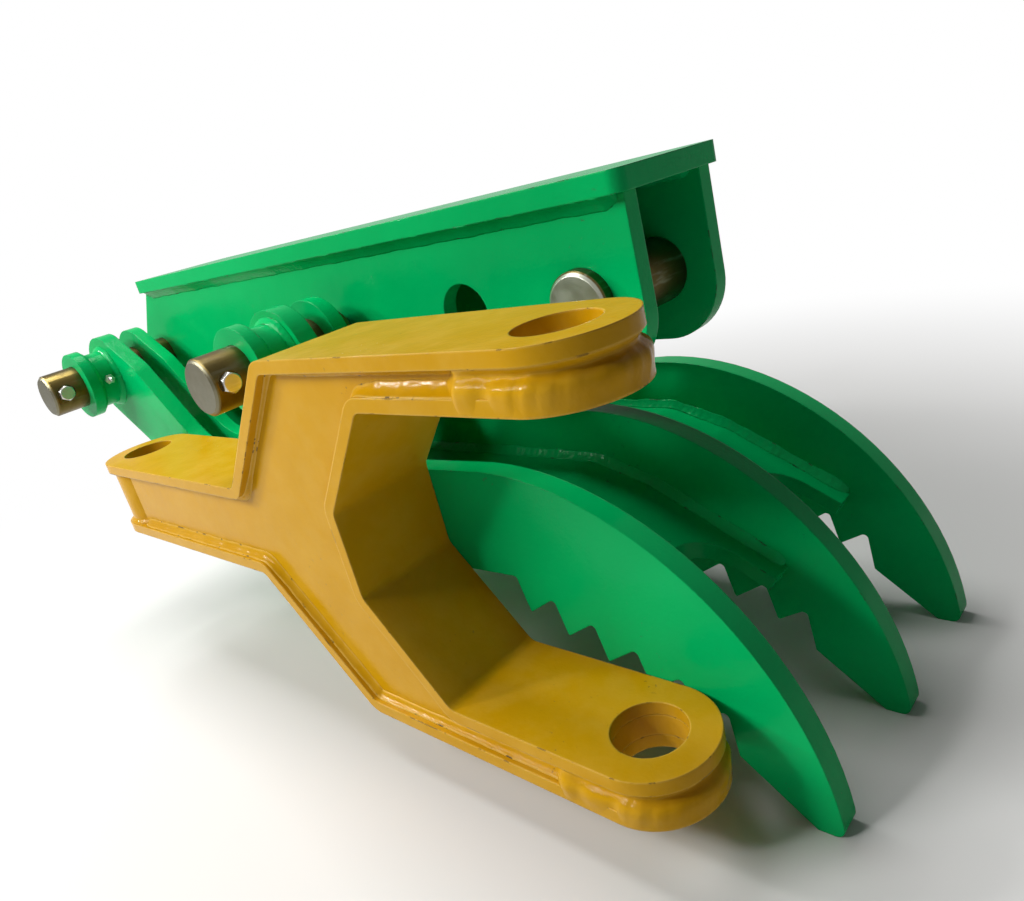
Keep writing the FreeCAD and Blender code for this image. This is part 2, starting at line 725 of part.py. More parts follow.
def make_channel():
    """Write the parts that are welded to the machine's arm."""
    export("flange_plate", flange_plate())
    export("side_plate_right", side_plate(-CHANNEL_HALF))
    export("side_plate_left", side_plate(CHANNEL_INNER_HALF))
    export("channel_brace", channel_brace())
    export("channel_pivot_boss", channel_pivot_boss())


def make_thumb():
    """Write the tines, the plates between them and the bearings at the pins."""
    export("tine_left", outer_tine(TINE_INNER_FACE))
    export("tine_centre", centre_tine())
    export("tine_right", outer_tine(-TINE_OUTER_FACE))
    export("root_plate", root_plate())
    palm = palm_plate()
    lug = lug_plate(LUG_OFFSET - LUG_THICKNESS / 2.0)
    export("palm_plate_left", palm)
    export("palm_plate_right", mirrored_y(palm))
    export("lug_plate_left", lug)
    export("lug_plate_right", mirrored_y(lug))
    for name, x, z in (("pivot", PIVOT_X, PIVOT_Z), ("link", LINK_PIN_X, LINK_PIN_Z)):
        ring = outboard_ring(x, z)
        boss = outboard_boss(x, z)
        nipple = grease_nipple(x, z)
        export(name + "_ring_left", ring)
        export(name + "_ring_right", mirrored_y(ring))
        export(name + "_boss_left", boss)
        export(name + "_boss_right", mirrored_y(boss))
        export(name + "_grease_nipples", Part.makeCompound([nipple, mirrored_y(nipple)]))


def make_pins():
    """Write the pins and their cross-bolts."""
    export("pivot_pin", pivot_pin())
    export("pivot_pin_bolts", pivot_pin_bolts())
    pin = link_pin()
    bolt = link_pin_bolt()
    export("link_pin_left", pin)
    export("link_pin_right", mirrored_y(pin))
    export("link_pin_bolt_left", bolt)
    export("link_pin_bolt_right", mirrored_y(bolt))
    export("base_pin", base_pin())
    export("base_pin_bolt", base_pin_bolt())


def make_yoke():
    """Write the plates and bosses of the yoke."""
    upper = yoke_upper_flange()
    boss = yoke_fork_boss()
    front = YOKE_CENTRE_Y - YOKE_DEPTH / 2.0 + WEB_RECESS
    back = YOKE_CENTRE_Y + YOKE_DEPTH / 2.0 - WEB_RECESS - YOKE_PLATE
    export("yoke_upper_flange", upper)
    export("yoke_lower_flange", mirrored_yoke(upper))
    export("yoke_liner", yoke_liner())
    export("yoke_front_web", yoke_web(front))
    export("yoke_back_web", yoke_web(back))
    export("yoke_upper_boss", boss)
    export("yoke_lower_boss", mirrored_yoke(boss))
    export("yoke_neck_boss", yoke_neck_boss())


os.makedirs("parts", exist_ok=True)
make_channel()
make_thumb()
make_pins()
make_yoke()
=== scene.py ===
"""The look of a weld-on excavator thumb with its fork yoke: enamel, weld beads, pins and bolts.

Lengths are in millimetres where welds and bolts are shaped, and in metres in the meshes, the
materials and the studio. X runs towards the tine tips, Y along the pins and Z up, with the origin
in the middle of the weld face. Right is -Y.

MM is a millimetre in metres. STEP is the distance between samples along a bead, and points nearer
than CLOSE count as one, both in millimetres. REFLECTED is how bright the white background is in
reflections, against 1 to the camera.
"""
import logging
import math
from dataclasses import dataclass, field
from enum import Enum

import bmesh
import bpy
import numpy as np
from mathutils import Matrix, Vector

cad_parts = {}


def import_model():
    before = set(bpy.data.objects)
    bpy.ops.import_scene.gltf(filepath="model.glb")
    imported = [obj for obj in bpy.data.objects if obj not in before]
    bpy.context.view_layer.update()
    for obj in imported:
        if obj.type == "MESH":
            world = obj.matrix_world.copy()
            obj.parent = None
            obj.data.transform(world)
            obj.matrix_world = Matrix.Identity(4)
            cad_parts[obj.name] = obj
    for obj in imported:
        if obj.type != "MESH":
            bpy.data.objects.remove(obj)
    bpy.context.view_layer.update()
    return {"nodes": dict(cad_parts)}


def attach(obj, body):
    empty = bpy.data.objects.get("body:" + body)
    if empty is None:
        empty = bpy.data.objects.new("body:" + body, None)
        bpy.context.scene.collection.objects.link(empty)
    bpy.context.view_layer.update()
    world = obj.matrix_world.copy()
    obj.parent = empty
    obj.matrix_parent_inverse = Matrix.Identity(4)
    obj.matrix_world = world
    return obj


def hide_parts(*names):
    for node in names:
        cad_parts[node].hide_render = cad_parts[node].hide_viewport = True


LOG = logging.getLogger("thumb")
MM = 0.001
STEP = 1.3
CLOSE = 1e-6
REFLECTED = 0.45
WHITE = (1.0, 1.0, 1.0)
Array = np.ndarray
FRONT = np.array([1.0, 0.0, 0.0])
LEFT = np.array([0.0, 1.0, 0.0])
UP = np.array([0.0, 0.0, 1.0])
RIGHT = -LEFT
DOWN = -UP


class Val:
    """A number socket that can be used in Python expressions."""

    def __init__(self, graph: "Graph", socket: bpy.types.NodeSocket) -> None:
        """Wrap a socket of a graph."""
        self.graph = graph
        self.socket = socket

    def _math(self, operation: str, first: "Val | float",
              second: "Val | float | None" = None) -> "Val":
        """Add a Math node.

        Args:
            operation: The node's operation.
            first: The first value.
            second: The second value, if the operation takes two.

        Returns:
            The result.
        """
        inputs = {0: first} if second is None else {0: first, 1: second}
        node = self.graph.add("ShaderNodeMath", {"operation": operation}, inputs)
        return Val(self.graph, node.outputs[0])

    def __add__(self, other: "Val | float") -> "Val":
        """Add."""
        return self._math("ADD", self, other)

    def __radd__(self, other: "Val | float") -> "Val":
        """Add to a plain number."""
        return self._math("ADD", other, self)

    def __sub__(self, other: "Val | float") -> "Val":
        """Subtract."""
        return self._math("SUBTRACT", self, other)

    def __rsub__(self, other: "Val | float") -> "Val":
        """Subtract from a plain number."""
        return self._math("SUBTRACT", other, self)

    def __mul__(self, other: "Val | float") -> "Val":
        """Multiply."""
        return self._math("MULTIPLY", self, other)

    def smallest(self, other: "Val | float") -> "Val":
        """Return the smaller of two values."""
        return self._math("MINIMUM", self, other)

    def largest(self, other: "Val | float") -> "Val":
        """Return the larger of two values."""
        return self._math("MAXIMUM", self, other)

    def sine(self) -> "Val":
        """Return the sine."""
        return self._math("SINE", self)

    def root(self) -> "Val":
        """Return the square root."""
        return self._math("SQRT", self)

    def step(self, low: float, high: float) -> "Val":
        """Rise smoothly from 0 at low to 1 at high.

        Args:
            low: The value that gives 0.
            high: The value that gives 1.

        Returns:
            The smooth step, clamped.
        """
        settings = {"interpolation_type": "SMOOTHSTEP"}
        node = self.graph.add("ShaderNodeMapRange", settings, {0: self, 1: low, 2: high})
        return Val(self.graph, node.outputs[0])


class Graph:
    """The node tree of a material or a world, with one method that adds every node."""

    def __init__(self, owner: bpy.types.Material | bpy.types.World) -> None:
        """Give the owner an empty tree.

        Args:
            owner: The material or world that the tree belongs to.
        """
        self.owner = owner
        owner.use_nodes = True
        self.tree = owner.node_tree
        self.tree.nodes.clear()

    def add(self, kind: str, settings: dict | None = None,
            inputs: dict | None = None) -> bpy.types.Node:
        """Add a node.

        Args:
            kind: The node's type.
            settings: Its properties, set before its sockets.
            inputs: Values or links by socket index or name.

        Returns:
            The node.
        """
        node = self.tree.nodes.new(kind)
        for key, value in (settings or {}).items():
            setattr(node, key, value)
        for key, value in (inputs or {}).items():
            self._feed(node.inputs[key], value)
        return node

    def _feed(self, target: bpy.types.NodeSocket, value: object) -> None:
        """Link a socket or set its value.

        Args:
            target: The input socket.
            value: A value, a socket, a number or a tuple.
        """
        if isinstance(value, Val):
            self.tree.links.new(value.socket, target)
        elif isinstance(value, bpy.types.NodeSocket):
            self.tree.links.new(value, target)
        elif isinstance(value, tuple) and len(value) == 3 and target.type == "RGBA":
            target.default_value = (*value, 1.0)
        else:
            target.default_value = value

    def place(self) -> bpy.types.NodeSocket:
        """Return the Object coordinates."""
        return self.add("ShaderNodeTexCoord").outputs["Object"]

    def axes(self) -> list[Val]:
        """Return the Object coordinates' X, Y and Z as values."""
        split = self.add("ShaderNodeSeparateXYZ", None, {0: self.place()})
        return [Val(self, socket) for socket in split.outputs]

    def mapped(self, scale: tuple) -> bpy.types.NodeSocket:
        """Return the Object coordinates, multiplied by a scale on each axis."""
        inputs = {"Vector": self.place(), "Scale": scale}
        return self.add("ShaderNodeMapping", None, inputs).outputs[0]

    def noise(self, scale: float, detail: float = 2.0, rough: float = 0.5,
              where: bpy.types.NodeSocket | None = None) -> Val:
        """Return soft noise on the Object coordinates.

        Args:
            scale: Lumps per metre.
            detail: Octaves.
            rough: How strong the finer octaves are.
            where: Other coordinates, if given.

        Returns:
            The noise, about 0.5.
        """
        spot = where if where is not None else self.place()
        inputs = {"Vector": spot, "Scale": scale, "Detail": detail, "Roughness": rough}
        return Val(self, self.add("ShaderNodeTexNoise", None, inputs).outputs[0])

    def blend(self, factor: Val, first: object, second: object) -> bpy.types.NodeSocket:
        """Mix two colours, each a tuple or a socket, by a factor."""
        inputs = {0: factor, 6: first, 7: second}
        return self.add("ShaderNodeMix", {"data_type": "RGBA"}, inputs).outputs[2]

    def soft_edge(self, radius: float) -> bpy.types.NodeSocket:
        """Return a normal that rounds the piece's sharp edges."""
        return self.add("ShaderNodeBevel", {"samples": 6}, {"Radius": radius}).outputs[0]

    def edge_mask(self, radius: float) -> Val:
        """Find the edges: there the rounded normal leaves the face's own.

        Args:
            radius: How far an edge reaches, in metres.

        Returns:
            0 on flats, rising to 1 at an edge.
        """
        face = self.add("ShaderNodeNewGeometry").outputs["True Normal"]
        inputs = {0: self.soft_edge(radius), 1: face}
        product = self.add("ShaderNodeVectorMath", {"operation": "DOT_PRODUCT"}, inputs)
        return (1.0 - Val(self, product.outputs["Value"])).step(0.01, 0.22)

    def bump(self, height: Val, distance: float, strength: float,
             normal: bpy.types.NodeSocket) -> bpy.types.NodeSocket:
        """Return a normal tilted by a height.

        Args:
            height: The height, 0 to 1.
            distance: Metres that a height of 1 stands for.
            strength: How much of it shows.
            normal: The normal that is tilted.

        Returns:
            The normal socket.
        """
        inputs = {"Height": height, "Distance": distance, "Strength": strength, "Normal": normal}
        return self.add("ShaderNodeBump", None, inputs).outputs[0]

    def background_seen(self) -> Val:
        """Weigh the background by the kind of ray.

        Returns:
            1 to the camera, less in a reflection and 0 for diffuse light.
        """
        path = self.add("ShaderNodeLightPath")
        camera = Val(self, path.outputs["Is Camera Ray"])
        return camera.largest(Val(self, path.outputs["Is Glossy Ray"]) * REFLECTED)

    def principled(self, inputs: dict) -> bpy.types.Material:
        """End the tree in a Principled shader.

        Args:
            inputs: The shader's values or links by name.

        Returns:
            The tree's owner.
        """
        shader = self.add("ShaderNodeBsdfPrincipled", None, inputs)
        self.add("ShaderNodeOutputMaterial", None, {"Surface": shader.outputs[0]})
        return self.owner


@dataclass(frozen=True)
class Enamel:
    """Thick sprayed enamel with orange peel, uneven cover, small chips and a painted highlight
    along its edges.

    Each noise takes its lumps per metre, octaves and roughness, and is cut by a smooth step.
    """

    name: str
    colour: tuple
    deep: tuple
    # pale is both a faint paler tone at random and the colour of the painted highlight along edges
    pale: tuple
    chip: tuple = (0.035, 0.03, 0.026)
    gloss: float = 0.12
    peel: float = 0.42
    relief: float = 0.0011
    edge: float = 0.0016
    ior: float = 1.5
    specular: float = 0.07

    def make(self) -> bpy.types.Material:
        """Build the enamel's material.

        Returns:
            The material.
        """
        graph = Graph(bpy.data.materials.new(self.name))
        drift = graph.noise(5.0, 3.0, 0.55).step(0.3, 0.72)
        cloud = graph.noise(38.0, 3.0, 0.6).step(0.35, 0.7)
        edge = graph.edge_mask(self.edge * 1.6)
        colour = graph.blend(drift * 0.55, self.colour, self.deep)
        colour = graph.blend(cloud * 0.08, colour, self.pale)
        # Painted highlight: the colour is blended towards the pale colour along every edge
        colour = graph.blend(edge * 0.38, colour, self.pale)
        speck = graph.noise(240.0, 3.0, 0.65).step(0.665, 0.70)
        knock = graph.noise(64.0, 4.0, 0.6).step(0.60, 0.64) * edge.step(0.35, 0.8)
        grit = speck * graph.noise(12.0, 1.0).step(0.55, 0.66) * 0.5
        chips = knock.largest(grit)
        colour = graph.blend(chips * 0.85, colour, self.chip)
        rough = self.gloss + cloud * 0.07 + drift * 0.05 + chips * 0.3
        fine = graph.noise(420.0, 1.0)
        broad = graph.noise(90.0, 2.0)
        run = graph.noise(1.0, 2.0, 0.5, graph.mapped((46.0, 46.0, 7.0)))
        height = fine * 0.28 + broad * 0.5 + run * 0.45 - chips * 0.8
        normal = graph.bump(height, self.relief, self.peel, graph.soft_edge(self.edge))
        return graph.principled({"Base Color": colour, "Roughness": rough, "Normal": normal,
                                 "IOR": self.ior, "Specular IOR Level": self.specular})


@dataclass(frozen=True)
class PlatedSteel:
    """Zinc-plated steel, yellow passivated or bright, with turning lines round its own axis.

    The axis runs along Y. Past each end's depth the outer face is turned bright.
    """

    name: str
    colour: tuple
    stain: tuple
    bright: tuple
    axis_x: float = 0.0
    axis_z: float = 0.0
    ends: tuple = (-9.0, 9.0)
    gloss: float = 0.30
    depth: tuple = (0.0016, 0.0022)
    ring_rate: float = 5200.0
    line_rate: float = 4200.0
    line_slope: float = 900.0
    relief: float = 0.00022
    strength: float = 0.35
    edge: float = 0.0009
    worn: float = 0.0016

    def make(self) -> bpy.types.Material:
        """Build the plated material; the turning lines are rings about the pin's axis.

        Returns:
            The material.
        """
        graph = Graph(bpy.data.materials.new(self.name))
        x, along, z = graph.axes()
        off_x = x - self.axis_x
        off_z = z - self.axis_z
        radius = (off_x * off_x + off_z * off_z).root()
        rings = (radius * self.ring_rate).sine() * 0.5 + 0.5
        lines = (along * self.line_rate + radius * self.line_slope).sine() * 0.5 + 0.5
        stain = graph.noise(34.0, 4.0, 0.62).step(0.36, 0.70)
        rub = graph.noise(1.0, 3.0, 0.6, graph.mapped((120.0, 18.0, 120.0))).step(0.52, 0.74)
        edge = graph.edge_mask(self.worn)
        colour = graph.blend(stain * 0.75, self.colour, self.stain)
        low, high = self.ends
        near, far = self.depth
        turned = along.step(high - far, high - near)
        turned = turned.largest(1.0 - along.step(low + near, low + far))
        turned = turned * (0.62 + graph.noise(60.0, 3.0) * 0.5)
        bared = (rub * 0.35).largest(edge * 0.35).largest(turned).smallest(1.0)
        colour = graph.blend(bared, colour, self.bright)
        rough = self.gloss + stain * 0.12 + rings * 0.06
        height = rings * 0.35 + lines * 0.35 + graph.noise(300.0, 2.0) * 0.3
        normal = graph.bump(height, self.relief, self.strength, graph.soft_edge(self.edge))
        return graph.principled({"Base Color": colour, "Roughness": rough, "Normal": normal,
                                 "Metallic": 1.0})


@dataclass(frozen=True)
class StudioFloor:
    """The plain pale floor, which fades into the white background away from the part."""

    colour: tuple = (0.68, 0.675, 0.66)
    rough: float = 0.7
    near: float = 0.45
    far: float = 1.3

    def make(self) -> bpy.types.Material:
        """Build the floor's material.

        Returns:
            The material.
        """
        graph = Graph(bpy.data.materials.new("studio_floor"))
        x, y, _ = graph.axes()
        distance = (x * x + y * y).root()
        fade = distance.step(self.near, self.far) * graph.background_seen()
        look = {"Base Color": self.colour, "Roughness": self.rough}
        matt = graph.add("ShaderNodeBsdfPrincipled", None, look)
        white = graph.add("ShaderNodeEmission", None, {"Color": WHITE, "Strength": 1.0})
        inputs = {0: fade, 1: matt.outputs[0], 2: white.outputs[0]}
        mix = graph.add("ShaderNodeMixShader", None, inputs)
        graph.add("ShaderNodeOutputMaterial", None, {"Surface": mix.outputs[0]})
        return graph.owner


class Slot(Enum):
    """The names of the record's material slots; new pieces are passed one, but their finish is the
    material they are given.
    """

    GREEN = "green_paint"
    YELLOW = "yellow_paint"
    BOLT = "zinc_fastener"


def quads_of_grid(rows: int, columns: int, start: int, wrap_rows: bool) -> Array:
    """Number the quads between rings of points, each ring closed on itself.

    Args:
        rows: Points along the path.
        columns: Points round each ring.
        start: The number of the first point.
        wrap_rows: Whether the last ring joins the first.

    Returns:
        The quads' corner numbers, one row each.
    """
    last = rows if wrap_rows else rows - 1
    i, j = np.meshgrid(np.arange(last), np.arange(columns), indexing="ij")
    here, ahead = i * columns, (i + 1) % rows * columns
    beside = (j + 1) % columns
    quads = np.stack([here + j, here + beside, ahead + beside, ahead + j], axis=-1)
    return start + quads.reshape(-1, 4)


@dataclass
class Shell:
    """Vertices and faces gathered from several closed surfaces."""

    points: list = field(default_factory=list)
    faces: list = field(default_factory=list)
    count: int = 0

    def ring_surface(self, grid: Array, closed: bool = False) -> None:
        """Add a surface of rings, with flat caps unless the rings join up.

        Args:
            grid: Points, rings by places round each ring by three.
            closed: Whether the last ring joins the first.
        """
        rows, columns = grid.shape[:2]
        self.points.append(grid.reshape(-1, 3))
        self.faces.extend(quads_of_grid(rows, columns, self.count, closed).tolist())
        if not closed:
            first = np.arange(columns)[::-1] + self.count
            last = np.arange(columns) + self.count + (rows - 1) * columns
            self.faces.extend([first.tolist(), last.tolist()])
        self.count += rows * columns

    def piece(self, name: str, body: str, slot: Slot, material: bpy.types.Material,
              smooth: bool = True) -> bpy.types.Object:
        """Make the object, in metres, riding its body.

        Args:
            name: The piece's name.
            body: The body that it moves with.
            slot: The record's slot for its finish; it is not used.
            material: Its material.
            smooth: Whether its faces shade smoothly.

        Returns:
            The object.
        """
        mesh = bpy.data.meshes.new(name)
        mesh.from_pydata((np.concatenate(self.points) * MM).tolist(), [], self.faces)
        mesh.validate()
        mesh.polygons.foreach_set("use_smooth", np.full(len(mesh.polygons), smooth))
        mesh.materials.append(material)
        made = bpy.data.objects.new(name, mesh)
        bpy.context.scene.collection.objects.link(made)
        outward(made)
        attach(made, body)
        LOG.info("%s: %d faces on %s", name, len(mesh.polygons), body)
        return made


def outward(piece: bpy.types.Object) -> None:
    """Point every face of a closed mesh outwards.

    Args:
        piece: The mesh's object.
    """
    work = bmesh.new()
    work.from_mesh(piece.data)
    bmesh.ops.recalc_face_normals(work, faces=work.faces)
    work.to_mesh(piece.data)
    work.free()


@dataclass(frozen=True)
class Outline:
    """A path of straight runs in XZ; each corner is its X, its Z and the radius of its arc."""

    corners: tuple
    arc_points: int = 13

    def sample(self) -> tuple[Array, Array]:
        """Walk the path at even steps.

        A corner of radius r and half angle h is cut back by r / tan(h), and its arc is swept about
        the centre that lies r / sin(h) along the bisector. The walk then takes points at equal
        lengths along the whole polyline.

        Returns:
            The points and their unit directions, both as XZ pairs.
        """
        rough = []
        last = len(self.corners) - 1
        for index, (x, z, radius) in enumerate(self.corners):
            here = np.array([x, z])
            if index in (0, last):
                rough.append(here[None])
                continue
            before = np.array(self.corners[index - 1][:2]) - here
            after = np.array(self.corners[index + 1][:2]) - here
            before = before / np.linalg.norm(before)
            after = after / np.linalg.norm(after)
            half = 0.5 * math.acos(float(np.clip(before @ after, -1.0, 1.0)))
            middle = (before + after) / np.linalg.norm(before + after)
            centre = here + middle * radius / math.sin(half)
            reach = math.pi / 2 - half
            turn = np.linspace(-reach, reach, self.arc_points)[:, None]
            side = before - middle * (before @ middle)
            side = side / np.linalg.norm(side)
            rough.append(centre - radius * (np.cos(turn) * middle + np.sin(turn) * side))
        return evenly(np.concatenate(rough))


def stations(line: Array) -> Array:
    """Return how far along a polyline each of its points lies."""
    steps = np.linalg.norm(np.diff(line, axis=0), axis=1)
    return np.concatenate([[0.0], np.cumsum(steps)])


def evenly(line: Array) -> tuple[Array, Array]:
    """Resample a polyline at even steps and give the direction at each sample.

    Args:
        line: The polyline's points.

    Returns:
        The points and their unit directions.
    """
    gaps = np.linalg.norm(np.diff(line, axis=0), axis=1)
    line = line[np.concatenate([[True], gaps > CLOSE])]
    station = stations(line)
    places = np.linspace(0.0, station[-1], max(4, int(station[-1] / STEP)))
    points = np.stack([np.interp(places, station, column) for column in line.T], axis=1)
    run = np.gradient(points, axis=0)
    return points, run / np.linalg.norm(run, axis=1, keepdims=True)


def sway(length: Array, seed: float) -> Array:
    """Return an uneven wave about zero: three unrelated sines, with phases from the seed."""
    return (np.sin(length / 9.3 + seed) + 0.7 * np.sin(length / 4.1 + seed * 2.3)
            + 0.5 * np.sin(length / 23.0 + seed * 3.1)) / 2.2


@dataclass(frozen=True)
class Bead:
    """A welder's hand.

    The leg, the pitch and how deep the edges and the root are sunk into the plates, so that no gap
    shows, are in millimetres. The crown, the ripple, the wander and the start, which is what is
    left at an open end, are shares of the leg. The lag and the drift are shares of the pitch.
    """

    leg: float
    crown: float
    pitch: float = 5.5
    ripple: float = 0.066
    wander: float = 0.10
    start: float = 0.35
    lag: float = 0.45
    drift: float = 0.3
    sunk: float = 0.35
    mean: float = 0.6
    across: int = 9

    def lay(self, shell: Shell, path: Array, first: Array, second: Array, seed: float,
            closed: bool = False, weight: Array | float = 1.0) -> None:
        """Lay a fillet along a path.

        Across the bead, v runs from 0 to 1: a point is the corner plus leg times the straight mix
        of the two face directions, plus the crown times sin(pi v) along their bisector. Along it
        the crown swells by |sin(pi p)| less its mean, where p is the length over the pitch, held
        back by the lag times sin(pi v) in the middle, which makes overlapping crescents. The leg
        sways unevenly. A crown below zero makes a hollow fillet.

        Args:
            shell: The shell that takes the surface.
            path: The corner line's points.
            first: The unit direction in the first face, away from the corner.
            second: The unit direction in the second face.
            seed: Where the wander starts.
            closed: Whether the path joins up.
            weight: The leg's share at each point of the path.
        """
        first = np.broadcast_to(first, path.shape)
        second = np.broadcast_to(second, path.shape)
        length = stations(path)[:, None]
        v = np.linspace(0.0, 1.0, self.across)[None, :]
        leg = self.leg * (1.0 + self.wander * sway(length, seed))
        leg = leg * np.broadcast_to(weight, len(path))[:, None]
        if not closed:
            end = np.minimum(length, length[-1] - length)
            rise = np.sqrt(np.clip(end / self.leg, 0.0, 1.0))
            leg = leg * (self.start + (1.0 - self.start) * rise)
        bow = np.sin(math.pi * v)
        phase = length / self.pitch - self.lag * bow + self.drift * sway(length, seed + 1.7)
        dome = np.abs(np.sin(math.pi * phase)) - self.mean
        swell = leg * bow * (self.crown + self.ripple * dome)
        middle = (first + second) / math.sqrt(2.0)
        v = v[:, :, None]
        one, two = first[:, None], second[:, None]
        face = leg[:, :, None] * ((1.0 - v) * one + v * two)
        sunk = self.sunk * ((1.0 - v) * two + v * one)
        skin = path[:, None] + face - sunk + swell[:, :, None] * middle[:, None]
        root = path[:, None] - self.sunk * middle[:, None]
        shell.ring_surface(np.concatenate([skin, root], axis=1), closed)


def wire(x: Array | float, y: float, z: Array | float) -> Array:
    """Return path points from coordinates, where X or Z may be one number for all."""
    return np.stack(np.broadcast_arrays(x, y, z), axis=1)


def flat_path(points: Array, y: float) -> Array:
    """Stand XZ points at one Y."""
    return wire(points[:, 0], y, points[:, 1])


def smooth(share: Array) -> Array:
    """Ease a share from 0 to 1, level at both ends."""
    held = np.clip(share, 0.0, 1.0)
    return held * held * (3.0 - 2.0 * held)


def bell(value: Array, middle: float, width: float) -> Array:
    """Return a bell curve, 1 in the middle and 1/e a width away from it."""
    return np.exp(-((value - middle) / width) ** 2)


def along_x(points: Array, stops: tuple) -> Array:
    """Read a value for each XZ point from (X, value) stops, straight between them."""
    return np.interp(points[:, 0], [stop[0] for stop in stops], [stop[1] for stop in stops])


def left_of(direction: Array) -> Array:
    """Return the XZ direction a quarter turn anticlockwise, as 3-D vectors."""
    return np.stack([-direction[:, 1], np.zeros(len(direction)), direction[:, 0]], axis=1)


def arc_about(centre: tuple, radius: float, across: Array, start: float = 0.0,
              sweep: float = 360.0) -> tuple[Array, Array]:
    """Return a circle or arc in the plane of X and another axis, with its outward directions.

    Args:
        centre: The circle's middle.
        radius: Its radius.
        across: The plane's other axis, a unit vector.
        start: The first angle in degrees, 0 along +X and 90 along the other axis.
        sweep: The angle swept, in degrees.

    Returns:
        The points and the radial directions.
    """
    count = max(8, int(math.radians(sweep) * radius / STEP))
    turn = np.radians(start + np.linspace(0.0, sweep, count))[:, None]
    out = np.cos(turn) * FRONT + np.sin(turn) * across
    return np.array(centre) + radius * out, out


def sided(*stems: str) -> tuple:
    """Return the right and left names of each stem."""
    return tuple(f"{stem}_{side}" for stem in stems for side in ("right", "left"))


@dataclass(frozen=True)
class Channel:
    """The weld-on channel: its seams under the flange, at the brace and at the pivot boss."""

    enamel: bpy.types.Material
    half_length: float = 366.0
    half_width: float = 54.0
    inner_half: float = 40.0
    inner_start: float = -190.0
    inner_end: float = 363.0
    top: float = -15.0
    brace_x: tuple = (-215.0, -203.0)
    brace_top: float = -22.0
    brace_bottom: float = -105.0
    pivot: tuple = (-382.0, -100.0)
    boss: float = 37.05
    flange_points: int = 560
    inner_points: int = 420
    brace_points: int = 70
    names: tuple = ("flange_plate", "channel_brace", "channel_pivot_boss", *sided("side_plate"))

    def dress(self, nodes: dict) -> None:
        """Paint the channel's plates and lay its welds.

        Args:
            nodes: The frame's objects by node name.
        """
        paint(nodes, self.names, self.enamel)
        self.flange_seams().piece("flange_welds", "bracket", Slot.GREEN, self.enamel)
        self.inner_seams().piece("channel_inner_welds", "bracket", Slot.GREEN, self.enamel)

    def flange_seams(self) -> Shell:
        """Lay the two long fillets between the flange and the outer faces of the side plates.

        Returns:
            The fillets' shell.
        """
        shell = Shell()
        bead = Bead(leg=10.0, crown=-0.08, pitch=7.0, ripple=0.03, wander=0.06)
        x = np.linspace(-self.half_length, self.half_length, self.flange_points)
        for side, seed in ((-1.0, 0.4), (1.0, 1.9)):
            bead.lay(shell, wire(x, side * self.half_width, self.top), side * LEFT, DOWN, seed)
        return shell

    def inner_seams(self) -> Shell:
        """Lay the fillets inside the channel, at its brace and round its pivot boss.

        Returns:
            The fillets' shell.
        """
        shell = Shell()
        bead = Bead(leg=6.0, crown=0.15)
        x = np.linspace(self.inner_start, self.inner_end, self.inner_points)
        z = np.linspace(self.brace_top, self.brace_bottom, self.brace_points)
        for side, seed in ((-1.0, 2.1), (1.0, 3.3)):
            y = side * self.inner_half
            inward = -side * LEFT
            bead.lay(shell, wire(x, y, self.top), inward, DOWN, seed)
            for x_face, out in zip(self.brace_x, (-FRONT, FRONT)):
                bead.lay(shell, wire(x_face, y, z), inward, out, seed + x_face)
            ring, out = arc_about((self.pivot[0], y, self.pivot[1]), self.boss, UP)
            bead.lay(shell, ring, out, inward, seed + 5.0, closed=True)
        return shell


